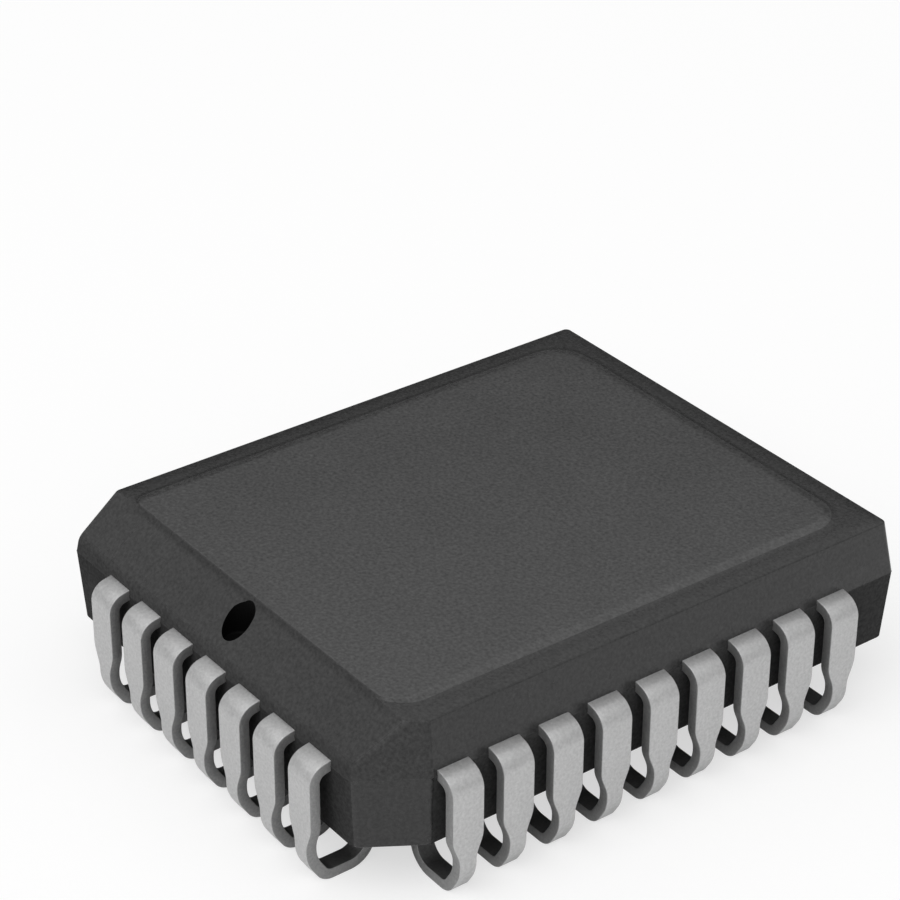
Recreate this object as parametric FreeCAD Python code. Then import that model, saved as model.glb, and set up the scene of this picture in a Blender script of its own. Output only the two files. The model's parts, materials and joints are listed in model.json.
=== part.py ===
import FreeCAD, Part

# A 32-lead plastic chip carrier with J-leads: the moulded body, its leads with their inner fingers,
# the die on its pad, and the bond wires. Millimetres. The origin is at the middle of the plane that
# the feet stand on, +Z is up, +Y points to the pin-1 end and X runs across the two long rows.

import math
import os

Vector = FreeCAD.Vector
UP = Vector(0, 0, 1)

# Lead rows
lead_pitch = 1.27
leads_on_long_side = 9
leads_on_short_side = 7

# Moulded body: its outline where the mould halves part, and the thickness of each half
body_width = 11.43
body_length = 13.97
upper_half = 1.265
lower_half = 1.735
upper_draft_deg = 8.0
lower_draft_deg = 3.2
corner_round = 0.12

# The pin-1 end: a corner cut off upright, a bevel that starts level with the leads, and a dimple
corner_cut_across = 0.87
corner_cut_along = 1.35
bevel_angle_deg = 46.0
bevel_round = 0.35
dimple_radius = 0.36
dimple_off_centre = 0.15
dimple_setback = 0.695
dimple_floor_rise = 0.25

# The raised field on top, inside a border that falls away outwards
border_width = 0.46
border_slope_deg = 3.0
field_step = 0.045
field_step_run = 0.24
field_corner_radius = 1.0
field_front_drop = 0.25
field_front_slope_deg = 60.0

# Lead frame metal and the formed J-lead
shoulder_height = 3.10
frame_thickness = 0.25
shoulder_width = 0.78
foot_width = 0.43
lead_reach = 0.51
shoulder_bend_radius = 0.35
hook_radius = 0.80
neck_foot_rise = 0.15
neck_length = 0.65
tip_clearance = 0.03

# Inner fingers, inside the moulding
root_depth = 0.25
finger_width = 0.45
knee_depth = 0.90
finger_tip_width = 0.32
finger_tip_pitch = 0.60
finger_gap = 0.25

# Die, adhesive and pad with its tie bars
die_width = 3.20
die_length = 4.20
die_thickness = 0.33
adhesive_thickness = 0.03
pad_margin = 0.60
pad_downset = 0.25
tie_bar_width = 0.25
tie_bar_slope_run = 0.60

# Bond wires
wire_side = 0.03
wire_loop_rise = 0.20
bond_inset = 0.10
bond_pitch = 0.42
stitch_inset = 0.15

# Derived levels and half sizes
half_width = body_width / 2
half_length = body_length / 2
parting_height = shoulder_height - frame_thickness / 2
underside_height = parting_height - lower_half
top_edge_height = parting_height + upper_half
border_rise = border_width * math.tan(math.radians(border_slope_deg))
field_height = top_edge_height + border_rise + field_step
neck_foot = hook_radius + neck_foot_rise
neck_top = neck_foot + neck_length
frame_bottom = shoulder_height - frame_thickness
pad_bottom = frame_bottom - pad_downset
pad_top = pad_bottom + frame_thickness
die_bottom = pad_top + adhesive_thickness
die_top = die_bottom + die_thickness
pad_half_width = die_width / 2 + pad_margin
pad_half_length = die_length / 2 + pad_margin
upper_slope = math.tan(math.radians(upper_draft_deg))
top_inset = upper_half * upper_slope
bevel_foot_y = half_length - (shoulder_height - parting_height) * upper_slope
field_front_foot = field_height - field_front_drop
bevel_run = (field_front_foot - shoulder_height) / math.tan(math.radians(bevel_angle_deg))
field_front_y = bevel_foot_y - bevel_run
block_size = 2 * (body_width + body_length)
tolerance = 0.01


def box_between(low, high):
    """A block from its lowest to its highest corner."""
    size = high - low
    return Part.makeBox(size.x, size.y, size.z, low)


def trim(solid, point, outward):
    """The part of a solid that lies behind a plane through point, whose normal is outward."""
    side = Part.makeBox(block_size, block_size, block_size, Vector(-block_size / 2, -block_size / 2, 0))
    side.Placement = FreeCAD.Placement(point, FreeCAD.Rotation(UP, outward))
    return solid.cut(side)


def is_steep(edge):
    """Whether an edge climbs more than it runs sideways."""
    box = edge.BoundBox
    return box.ZLength > box.XLength and box.ZLength > box.YLength


def lies_at(edge, y=None, z=None):
    """Whether a whole edge lies at this Y, this Z, or both."""
    box = edge.BoundBox
    near_y = y is None or (abs(box.YMin - y) < tolerance and abs(box.YMax - y) < tolerance)
    near_z = z is None or (abs(box.ZMin - z) < tolerance and abs(box.ZMax - z) < tolerance)
    return near_y and near_z


def tilted(horizontal, draft_deg):
    """A horizontal normal leaned up by a draft angle, or down if the angle is negative."""
    angle = math.radians(draft_deg)
    return horizontal * math.cos(angle) + UP * math.sin(angle)


def drafted_half(low, high, draft_deg):
    """One mould half: a block with drafted sides and the pin-1 corner cut off."""
    block = box_between(Vector(-half_width, -half_length, low), Vector(half_width, half_length, high))
    corner_point = Vector(-half_width, half_length - corner_cut_along, 0)
    sides = [
        (Vector(-1, 0, 0), Vector(-half_width, 0, 0)),
        (Vector(1, 0, 0), Vector(half_width, 0, 0)),
        (Vector(0, -1, 0), Vector(0, -half_length, 0)),
        (Vector(0, 1, 0), Vector(0, half_length, 0)),
        (Vector(-corner_cut_along, corner_cut_across, 0).normalize(), corner_point),
    ]
    for outward, point in sides:
        block = trim(block, point + UP * parting_height, tilted(outward, draft_deg))
    return block


def bevelled(block):
    """Cut the bevel across the pin-1 end, from the level of the lead shoulders upwards."""
    foot = Vector(0, bevel_foot_y, shoulder_height)
    return trim(block, foot, tilted(Vector(0, 1, 0), 90 - bevel_angle_deg))


def sloped_border(block):
    """Lean the top down towards the three plain sides, from the foot of the raised field."""
    edge_x = half_width - top_inset
    edge_y = half_length - top_inset
    lean = 90 - border_slope_deg
    for outward, reach in ((Vector(-1, 0, 0), edge_x), (Vector(1, 0, 0), edge_x), (Vector(0, -1, 0), edge_y)):
        block = trim(block, outward * reach + UP * top_edge_height, tilted(outward, lean))
    return block


def raised_field(foot):
    """The matt field: a rounded block with a sloped edge, and a steep front that ends on the bevel."""
    side = half_width - top_inset - border_width
    back = half_length - top_inset - border_width
    front = field_front_y + field_step_run
    block = box_between(Vector(-side, -back, foot), Vector(side, front, field_height))
    uprights = [edge for edge in block.Edges if is_steep(edge)]
    block = block.makeFillet(field_corner_radius, uprights)
    rim = [edge for edge in block.Edges if lies_at(edge, z=field_height)]
    block = block.makeChamfer(field_step, field_step_run, rim)
    front_foot = Vector(0, field_front_y, field_front_foot)
    return trim(block, front_foot, tilted(Vector(0, 1, 0), 90 - field_front_slope_deg))


def rounded(solid):
    """Soften the bevel's foot, then the two back corners."""
    foot = [edge for edge in solid.Edges if lies_at(edge, y=bevel_foot_y, z=shoulder_height)]
    solid = solid.makeFillet(bevel_round, foot)
    corners = [edge for edge in solid.Edges if is_steep(edge) and edge.BoundBox.YMax < -half_length / 2]
    return solid.makeFillet(corner_round, corners)


def dimple():
    """The cutter for the blind pin-1 dimple, sunk straight down into the bevel."""
    floor = Vector(dimple_off_centre, half_length - dimple_setback, shoulder_height + dimple_floor_rise)
    return Part.makeCylinder(dimple_radius, upper_half, floor, UP)


def moulding():
    """The whole outside of the body, before what it is moulded round is taken out of it."""
    lower = drafted_half(underside_height, parting_height, -lower_draft_deg)
    upper = drafted_half(parting_height, top_edge_height + border_rise, upper_draft_deg)
    solid = lower.fuse(sloped_border(bevelled(upper))).removeSplitter()
    solid = rounded(solid)
    solid = solid.fuse(raised_field(shoulder_height)).removeSplitter()
    return solid.cut(dimple())


def strip(points, low, thickness):
    """A flat piece of frame metal: an outline in plan, given thickness upwards from low."""
    corners = [Vector(x, y, low) for x, y in points]
    face = Part.Face(Part.makePolygon(corners + corners[:1]))
    return face.extrude(UP * thickness)


def upright_sheet(edges, direction, width):
    """A closed profile of edges pushed through a width, centred on its own plane."""
    profile = Part.Face(Part.Wire(Part.__sortEdges__(edges)))
    profile.translate(direction * (-width / 2))
    return profile.extrude(direction * width)


def corner_arc(centre, radius, start_deg, end_deg):
    """An arc in the XZ plane, with its angles from +X towards +Z."""
    angles = [math.radians(start_deg), math.radians((start_deg + end_deg) / 2), math.radians(end_deg)]
    points = [centre + Vector(math.cos(a), 0, math.sin(a)) * radius for a in angles]
    return Part.Arc(*points).toShape()


def line(start, end):
    return Part.LineSegment(start, end).toShape()


def shoulder_and_leg(outer, inner_x):
    """The wide stretch of a lead: flat shoulder, outer bend and the leg down to its neck."""
    centre = Vector(outer - shoulder_bend_radius, 0, shoulder_height - shoulder_bend_radius)
    inside = shoulder_bend_radius - frame_thickness
    top = Vector(inner_x, 0, shoulder_height)
    under = Vector(inner_x, 0, frame_bottom)
    edges = [
        line(top, centre + Vector(0, 0, shoulder_bend_radius)),
        corner_arc(centre, shoulder_bend_radius, 90, 0),
        line(centre + Vector(shoulder_bend_radius, 0, 0), Vector(outer, 0, neck_top)),
        line(Vector(outer, 0, neck_top), Vector(outer - frame_thickness, 0, neck_top)),
        line(Vector(outer - frame_thickness, 0, neck_top), centre + Vector(inside, 0, 0)),
        corner_arc(centre, inside, 0, 90),
        line(centre + Vector(0, 0, inside), under),
        line(under, top),
    ]
    return upright_sheet(edges, Vector(0, 1, 0), shoulder_width)


def neck(outer):
    """The stretch of leg where the lead tapers from its shoulder width to its foot width."""
    inner = outer - frame_thickness
    corners = [
        Vector(inner, -shoulder_width / 2, neck_top),
        Vector(inner, shoulder_width / 2, neck_top),
        Vector(inner, foot_width / 2, neck_foot),
        Vector(inner, -foot_width / 2, neck_foot),
    ]
    face = Part.Face(Part.makePolygon(corners + corners[:1]))
    return face.extrude(Vector(frame_thickness, 0, 0))


def hook(outer):
    """The narrow stretch: the rest of the leg, the J and the tip that turns up under the body."""
    tip = underside_height - tip_clearance
    centre = Vector(outer - hook_radius, 0, hook_radius)
    inside = hook_radius - frame_thickness
    near = centre.x + inside
    far = centre.x - inside
    back = centre.x - hook_radius
    edges = [
        line(Vector(near, 0, neck_foot), Vector(outer, 0, neck_foot)),
        line(Vector(outer, 0, neck_foot), Vector(outer, 0, hook_radius)),
        corner_arc(centre, hook_radius, 0, -90),
        corner_arc(centre, hook_radius, -90, -180),
        line(Vector(back, 0, hook_radius), Vector(back, 0, tip)),
        line(Vector(back, 0, tip), Vector(far, 0, tip)),
        line(Vector(far, 0, tip), Vector(far, 0, hook_radius)),
        corner_arc(centre, inside, -180, -90),
        corner_arc(centre, inside, -90, 0),
        line(Vector(near, 0, hook_radius), Vector(near, 0, neck_foot)),
    ]
    return upright_sheet(edges, Vector(0, 1, 0), foot_width)


def finger(half_side, pad_half_side, along, tip_along):
    """The inner finger in plan: it narrows inside the moulding, then slants to its tip by the pad."""
    root = half_side - root_depth
    knee = half_side - knee_depth
    tip = pad_half_side + finger_gap
    points = [
        (root, along - shoulder_width / 2),
        (root, along + shoulder_width / 2),
        (knee, along + finger_width / 2),
        (tip, tip_along + finger_tip_width / 2),
        (tip, tip_along - finger_tip_width / 2),
        (knee, along - finger_width / 2),
    ]
    return strip(points, frame_bottom, frame_thickness)


def lead(half_side, pad_half_side, index):
    """A lead on the +X side, index places along from the middle of its row."""
    outer = half_side + lead_reach
    along = index * lead_pitch
    formed = shoulder_and_leg(outer, half_side - root_depth)
    formed = formed.fuse([neck(outer), hook(outer)])
    formed.translate(Vector(0, along, 0))
    inner = finger(half_side, pad_half_side, along, index * finger_tip_pitch)
    return formed.fuse(inner).removeSplitter()


def wire_outline(start, end, length):
    """A bond wire's line in its own upright plane: up from the die, over, and down to the finger."""
    return [(0, start), (0, start + wire_loop_rise), (length, end)]


def offset_line(points, distance):
    """The line moved sideways by a distance, with mitred bends and its two ends kept level."""
    directions = []
    for (x0, z0), (x1, z1) in zip(points, points[1:]):
        size = math.hypot(x1 - x0, z1 - z0)
        directions.append(((x1 - x0) / size, (z1 - z0) / size))
    moved = []
    for place, (x, z) in enumerate(points):
        before = directions[max(place - 1, 0)]
        after = directions[min(place, len(directions) - 1)]
        if place in (0, len(points) - 1):
            run = after if place == 0 else before
            moved.append((x - distance / run[1], z))
            continue
        normal = (-(before[1] + after[1]), before[0] + after[0])
        size = math.hypot(*normal)
        spread = distance * size / (1 + before[0] * after[0] + before[1] * after[1])
        moved.append((x + normal[0] / size * spread, z + normal[1] / size * spread))
    return moved


def bond_wire(half_side, pad_half_side, die_half_side, index):
    """The wire of one lead, from the bond pad on the die to the top of the finger."""
    knee = half_side - knee_depth
    tip = pad_half_side + finger_gap
    tip_along = index * finger_tip_pitch
    slant = (index * lead_pitch - tip_along) / (knee - tip)
    start = Vector(die_half_side - bond_inset, index * bond_pitch, 0)
    end = Vector(tip + stitch_inset, tip_along + slant * stitch_inset, 0)
    run = end - start
    centre = wire_outline(die_top, shoulder_height, run.Length)
    outline = offset_line(centre, wire_side / 2) + offset_line(centre, -wire_side / 2)[::-1]
    along = run / run.Length
    across = UP.cross(along)
    corners = [start + along * x + UP * z - across * (wire_side / 2) for x, z in outline]
    face = Part.Face(Part.makePolygon(corners + corners[:1]))
    return face.extrude(across * wire_side)


def tie_bar(side_x, side_y):
    """A bar from a corner of the pad, up to the frame and out between the last fingers of two rows."""
    last_long = (leads_on_long_side - 1) / 2 * lead_pitch
    last_short = (leads_on_short_side - 1) / 2 * lead_pitch
    gap_x = (half_width - knee_depth + last_short) / 2
    gap_y = (half_length - knee_depth + last_long) / 2
    start = Vector(side_x * pad_half_width, side_y * pad_half_length, 0)
    run = Vector(side_x * gap_x, side_y * gap_y, 0) - start
    length = run.Length
    along = run / length
    across = UP.cross(along)
    inward = -tie_bar_width
    profile = [
        (inward, pad_bottom),
        (inward, pad_top),
        (0, pad_top),
        (tie_bar_slope_run, shoulder_height),
        (length, shoulder_height),
        (length, frame_bottom),
        (tie_bar_slope_run, frame_bottom),
        (0, pad_bottom),
    ]
    corners = [start + along * x + UP * z - across * (tie_bar_width / 2) for x, z in profile]
    face = Part.Face(Part.makePolygon(corners + corners[:1]))
    return face.extrude(across * tie_bar_width)


def centred_plate(width, length, low, thickness):
    """A rectangular plate centred on the Z axis."""
    return Part.makeBox(width, length, thickness, Vector(-width / 2, -length / 2, low))


def die_pad():
    """The pad with a tie bar at each of its four corners."""
    pad = centred_plate(2 * pad_half_width, 2 * pad_half_length, pad_bottom, frame_thickness)
    bars = [tie_bar(side_x, side_y) for side_x in (-1, 1) for side_y in (-1, 1)]
    return pad.fuse(bars).removeSplitter()


def rows():
    """The four rows, pin 1's neighbour onwards: turn, places, body, pad and die half sizes."""
    short = (leads_on_short_side - 1) / 2
    long = (leads_on_long_side - 1) / 2
    end_row = (half_length, pad_half_length, die_length / 2)
    side_row = (half_width, pad_half_width, die_width / 2)
    return [
        (90, short, end_row),
        (180, long, side_row),
        (270, short, end_row),
        (0, long, side_row),
    ]


def all_places():
    """Each lead's turn about Z, its place in its row and its row's half sizes, anticlockwise from above."""
    places = []
    for turn, half_count, sizes in rows():
        for step in range(int(2 * half_count) + 1):
            places.append((turn, step - half_count, sizes))
    middle = int((leads_on_short_side - 1) / 2)
    return places[middle:] + places[:middle]


def turned(shape, degrees):
    """A shape turned about the body's upright axis."""
    shape.rotate(Vector(0, 0, 0), UP, degrees)
    return shape


def build():
    """Every piece by name."""
    pieces = {}
    wires = []
    for number, (turn, index, (side, pad_side, die_side)) in enumerate(all_places(), start=1):
        pieces[f"lead_{number:02d}"] = turned(lead(side, pad_side, index), turn)
        wires.append(turned(bond_wire(side, pad_side, die_side, index), turn))
    pieces["die_pad"] = die_pad()
    pieces["die_adhesive"] = centred_plate(die_width, die_length, pad_top, adhesive_thickness)
    pieces["die"] = centred_plate(die_width, die_length, die_bottom, die_thickness)
    embedded = list(pieces.values()) + wires
    pieces["bond_wires"] = Part.makeCompound(wires)
    pieces["body"] = moulding().cut(embedded)
    return pieces


os.makedirs("parts", exist_ok=True)
for name, shape in build().items():
    shape.exportStep(f"parts/{name}.step")
    print(name, len(shape.Solids), "solids", round(shape.Volume, 4), "mm3")
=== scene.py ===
# %% [markdown]
# # A windowless 32-lead chip carrier, seen from above its pin-1 corner
#
# The real object is a block of black moulding compound with nine tin-plated leads down each long
# side and seven across each short one. Every lead comes out flat at half height, turns down, narrows
# and curls under the body in a J. The construction model already holds every piece at its true size.
# Here each visible piece gets its true surface: soft moulded edges, a matt field, satin metal.

import json
import math

import bmesh
import bpy
from mathutils import Matrix, Vector

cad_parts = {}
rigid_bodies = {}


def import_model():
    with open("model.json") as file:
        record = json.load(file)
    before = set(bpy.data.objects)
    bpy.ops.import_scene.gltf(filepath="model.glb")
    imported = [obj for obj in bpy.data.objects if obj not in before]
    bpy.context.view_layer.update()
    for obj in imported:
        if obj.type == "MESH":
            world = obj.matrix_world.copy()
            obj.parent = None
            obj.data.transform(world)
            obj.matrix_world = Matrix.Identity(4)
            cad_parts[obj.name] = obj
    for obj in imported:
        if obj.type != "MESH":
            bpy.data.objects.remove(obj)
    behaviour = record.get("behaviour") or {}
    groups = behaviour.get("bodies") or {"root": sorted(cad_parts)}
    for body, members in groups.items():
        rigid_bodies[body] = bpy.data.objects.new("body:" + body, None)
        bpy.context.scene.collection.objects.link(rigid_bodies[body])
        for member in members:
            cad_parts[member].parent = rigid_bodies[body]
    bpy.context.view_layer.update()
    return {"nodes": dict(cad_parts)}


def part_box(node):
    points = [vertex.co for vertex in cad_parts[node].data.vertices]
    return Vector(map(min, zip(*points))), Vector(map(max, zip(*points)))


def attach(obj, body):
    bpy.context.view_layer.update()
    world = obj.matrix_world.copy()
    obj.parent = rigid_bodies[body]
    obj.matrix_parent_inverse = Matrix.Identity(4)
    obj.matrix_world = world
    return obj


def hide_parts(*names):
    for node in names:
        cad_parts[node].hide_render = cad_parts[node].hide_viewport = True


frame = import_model()
mm = 0.001

# %% [markdown]
# ## The camera
#
# A camera is placed by a direction and a distance. The chip is only 15 mm long, so the camera stands
# a few centimetres away with a long lens, as it would for a product picture of a small part. The
# clipping distance has to shrink with it, or the nearest corner would be cut off.

# %% The camera
camera_place = Vector((-42.621, 32.896, 37.571)) * mm
camera_turn = math.radians(233.1058)
camera_tilt = math.radians(90 - 30.5486)
camera_roll = math.radians(0.1947)
camera_data = bpy.data.cameras.new("camera")
camera_data.lens = 116.08
camera_data.sensor_width = 36
camera_data.clip_start = 1 * mm
camera_data.clip_end = 5
camera = bpy.data.objects.new("camera", camera_data)
turn = Matrix.Rotation(camera_turn, 4, "Z") @ Matrix.Rotation(camera_tilt, 4, "X")
camera.matrix_world = Matrix.Translation(camera_place) @ turn @ Matrix.Rotation(camera_roll, 4, "Z")
bpy.context.scene.collection.objects.link(camera)
bpy.context.scene.camera = camera
print("camera distance, mm:", round(camera_place.length / mm, 1))

# %% [markdown]
# ## Sizes from the frame
#
# Nothing is measured twice. The body's box gives the outline where the two mould halves part and the
# heights of the underside and the matt field. One lead's box gives the height of the shoulders and how
# far the leads reach. What a box can't tell, such as a draft angle, is a named value beside the piece
# that needs it.

# %% Sizes from the frame
body_low, body_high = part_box("body")
end_lead_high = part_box("lead_01")[1]
half_width = body_high.x / mm
half_length = body_high.y / mm
underside = body_low.z / mm
field_height = body_high.z / mm
shoulder_height = end_lead_high.z / mm
lead_reach = end_lead_high.y / mm - half_length
frame_thickness = 0.25
parting_height = shoulder_height - frame_thickness / 2
print("body", round(2 * half_width, 2), "x", round(2 * half_length, 2), "lead reach", round(lead_reach, 3))

# %% [markdown]
# ## Small helpers
#
# A node tree is easier to read when each node is one call. The first helper makes a node of either
# kind of tree, sets its options, and fills each input with a value or links another node's output to
# it. The second is one step of arithmetic, which both kinds of tree need often.

# %% Node helpers
def add_node(tree, kind, options=None, **inputs):
    """A new node; an input named by its socket (or its number, as i0) takes a value or a link."""
    node = tree.nodes.new(kind)
    for name, value in (options or {}).items():
        setattr(node, name, value)
    for name, value in inputs.items():
        key = int(name[1:]) if name[1:].isdigit() else name.replace("_", " ")
        socket = node.inputs[key]
        if isinstance(value, bpy.types.NodeSocket):
            tree.links.new(value, socket)
        else:
            socket.default_value = value
    return node


def calculate(tree, operation, first, second=0.0, third=0.0):
    """One step of arithmetic on numbers or outputs."""
    node = add_node(tree, "ShaderNodeMath", {"operation": operation}, i0=first, i1=second, i2=third)
    return node.outputs[0]


# %% [markdown]
# ## What all materials share
#
# Every material of the chip starts in the same way: a shader, a noise pattern that reads object
# coordinates, a tone that swings about its centre with that pattern, and a fine relief. Object
# coordinates keep the pattern still on the piece and need no unwrapping. Sizes and depths are written
# in millimetres.

# %% Material helpers
def grey(level):
    """A neutral colour."""
    return (level, level, level)


def new_material(name):
    """A material, its node tree, its shader, and the coordinates that its patterns read."""
    material = bpy.data.materials.new(name)
    material.use_nodes = True
    tree = material.node_tree
    place = add_node(tree, "ShaderNodeTexCoord").outputs["Object"]
    return material, tree, tree.nodes["Principled BSDF"], place


def noise(tree, place, size, detail, roughness=0.5):
    """A pattern of soft lumps of one size, from 0 to 1."""
    scale = 1 / (size * mm)
    node = add_node(tree, "ShaderNodeTexNoise", Vector=place, Scale=scale, Detail=detail, Roughness=roughness)
    return node.outputs["Fac"]


def vary(tree, pattern, amount, centre=1.0):
    """A value that swings about its centre as a pattern does about one half."""
    return calculate(tree, "MULTIPLY_ADD", pattern, amount, centre - amount / 2)


def surface(tree, shader, colour, tone, relief, depth):
    """Give a shader a colour scaled by a tone, and a relief of some depth."""
    tint = add_node(tree, "ShaderNodeVectorMath", {"operation": "SCALE"}, i0=colour, Scale=tone)
    bump = add_node(tree, "ShaderNodeBump", Height=relief, Distance=depth * mm, Strength=1.0)
    tree.links.new(tint.outputs["Vector"], shader.inputs["Base Color"])
    tree.links.new(bump.outputs["Normal"], shader.inputs["Normal"])


# %% [markdown]
# ## Moulding compound
#
# The body is epoxy filled with glass powder and carbon black. All its finishes are one recipe with
# different values: nearly black, a broad highlight, a fine bump, and faint clouds where the resin
# flowed. The polished upper mould leaves a skin with a low sheen. The lower half and the foot of the
# bevel take a copy with no sheen, which is painted shade for the shade that falls there under and
# behind the leads. The upper corner facet takes another such copy, painted shade for the dark that it
# mirrors, and lies between the two. The field on top was spark-eroded in the mould, so it is paler,
# with a grain of a few hundredths of a millimetre. The dimple's wall is darkest, painted shade for a
# hole that light doesn't reach.

# %% Moulding compound
cloud_size = 2.2
cloud_tone = 0.30
cloud_gloss = 0.10
least_tone = 0.05
compound_ior = 1.5


def moulded_plastic(name, colour, roughness, grain, depth, speck, sheen=0.5):
    """Black compound; grain size and depth in millimetres, speck is how uneven the tone is."""
    material, tree, shader, place = new_material(name)
    fine = noise(tree, place, grain, detail=3.0, roughness=0.6)
    clouds = noise(tree, place, cloud_size, detail=4.0, roughness=0.55)
    tone = calculate(tree, "MULTIPLY", vary(tree, clouds, cloud_tone), vary(tree, fine, speck))
    surface(tree, shader, colour, calculate(tree, "MAXIMUM", tone, least_tone), fine, depth)
    tree.links.new(vary(tree, clouds, cloud_gloss, roughness), shader.inputs["Roughness"])
    shader.inputs["IOR"].default_value = compound_ior
    shader.inputs["Specular IOR Level"].default_value = sheen
    return material


skin_plastic = moulded_plastic("moulded skin", grey(0.034), 0.27, 0.075, 0.0028, 2.2, sheen=0.45)
# painted shade: a copy without sheen for the lower half and the bevel's foot, where the leads and the floor
# shade the body
shaded_lower_plastic = moulded_plastic("lower half and bevel foot shade", grey(0.064), 0.45, 0.075, 0.0030, 1.3, sheen=0.0)
# painted shade: the upper corner facet, toned for the dark that it mirrors; the lower facet keeps the skin
shaded_facet_plastic = moulded_plastic("corner facet", grey(0.076), 0.45, 0.075, 0.0030, 1.3, sheen=0.0)
field_plastic = moulded_plastic("matt field", grey(0.062), 0.21, 0.080, 0.0030, 1.8)
# painted shade: the dimple's wall is near black for a deep hole that light doesn't reach
dimple_shade_plastic = moulded_plastic("dimple wall painted shade", grey(0.001), 0.70, 0.060, 0.0020, 1.0, sheen=0.1)
body_finishes = (skin_plastic, field_plastic, dimple_shade_plastic, shaded_lower_plastic, shaded_facet_plastic)
print("finishes of the body:", ", ".join(finish.name for finish in body_finishes))

# %% [markdown]
# ## The body as a stack of rings
#
# The moulding could be cut from a block with planes, as the construction model is. Edges rounded that
# way are hard to control where five of them meet. Since every horizontal section of the body is a
# rounded polygon, the body is instead a stack of such sections, each a ring with the same number of
# points, joined by quads. A ring is found in two moves: shrink the polygon by the corner radius, then
# walk round it at that distance. A side that shrinks to nothing, as the pin-1 corner cut does on its
# way up, needs no special case, because its two corners then turn about one centre.

# %% Sides of a section
corner_cut_across = 0.87
corner_cut_along = 1.35
upper_draft_angle = math.radians(8.0)
upper_draft = math.tan(upper_draft_angle)
lower_draft = math.tan(math.radians(3.2))
cut_length = math.hypot(corner_cut_across, corner_cut_along)
cut_normal = Vector((-corner_cut_along, corner_cut_across)) / cut_length
cut_distance = cut_normal.dot(Vector((-half_width, half_length - corner_cut_along)))
side_normals = [Vector((1, 0)), Vector((0, 1)), cut_normal, Vector((-1, 0)), Vector((0, -1))]


def meet(normal_a, distance_a, normal_b, distance_b):
    """Where two lines cross, each a unit normal and its distance from the middle."""
    spread = normal_a.x * normal_b.y - normal_a.y * normal_b.x
    x = (distance_a * normal_b.y - distance_b * normal_a.y) / spread
    y = (normal_a.x * distance_b - normal_b.x * distance_a) / spread
    return Vector((x, y))


arc_steps = 8


def corner_arc(centre, radius, normal_a, normal_b):
    """The points of one rounded corner, anticlockwise from the first side's direction to the second's."""
    start = math.atan2(normal_a.y, normal_a.x)
    sweep = (math.atan2(normal_b.y, normal_b.x) - start) % math.tau
    angles = [start + sweep * step / arc_steps for step in range(arc_steps + 1)]
    return [centre + Vector((math.cos(angle), math.sin(angle))) * radius for angle in angles]


def ring_outline(distances, radii):
    """The five arcs of a rounded polygon, from each side's distance and each corner's radius."""
    corners = []
    for place, radius in enumerate(radii):
        after = (place + 1) % len(side_normals)
        pair = [(side_normals[side], distances[side] - radius) for side in (place, after)]
        corners.append(meet(*pair[0], *pair[1]))
    cut_side = 2
    merged = meet(side_normals[1], distances[1] - radii[1], side_normals[3], distances[3] - radii[2])
    if merged.dot(side_normals[cut_side]) <= distances[cut_side] - radii[1]:
        corners[1] = merged
        corners[2] = merged
    arcs = []
    for place, radius in enumerate(radii):
        after = (place + 1) % len(side_normals)
        arcs.append(corner_arc(corners[place], radius, side_normals[place], side_normals[after]))
    return arcs


print("length of the corner cut, mm:", round(cut_length, 3))

# %% [markdown]
# ## The profile that the rings follow
#
# Three of the sides share one profile from the bottom edge up: a small edge radius, the lower half's
# draft, the parting line, the upper half's steeper draft, a soft top edge, the border that rises and
# levels out, and the soft step up to the matt field. The pin-1 end has its own: a little above the
# leads it leans back into the bevel, and a shallow groove lies under the front edge of the field. It is
# written as a function of height, so any ring can ask where that end is.

# %% Profile of the three plain sides
bottom_round = 0.05
top_round = 0.05
border_width = 0.46
border_slope = math.tan(math.radians(3.0))
field_step_run = 0.38
field_finish_start = 0.13
field_step = 0.045
top_edge = field_height - field_step - border_width * border_slope
top_inset = (top_edge - parting_height) * upper_draft
field_foot = field_height - field_step
ridge_height = 0.010
ridge_rise = 0.003
bottom_steps = 5
top_steps = 7
border_steps = 8
field_steps = 12


def smooth_share(value):
    """A share from 0 to 1 with soft ends."""
    value = min(max(value, 0.0), 1.0)
    return value * value * (3 - 2 * value)


def rounded_turn(before, corner, after, radius, steps):
    """Points of an arc that rounds one corner of a profile."""
    corner = Vector(corner)
    towards = (Vector(before) - corner).normalized()
    away = (Vector(after) - corner).normalized()
    half_turn = (math.pi - towards.angle(away)) / 2
    reach = radius * math.tan(half_turn)
    middle = corner + (towards + away).normalized() * (radius / math.cos(half_turn))
    start = corner + towards * reach - middle
    whole = 2 * half_turn * (-1 if towards.x * away.y - towards.y * away.x < 0 else 1)
    return [middle + start @ Matrix.Rotation(whole * step / steps, 2) for step in range(steps + 1)]


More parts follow.
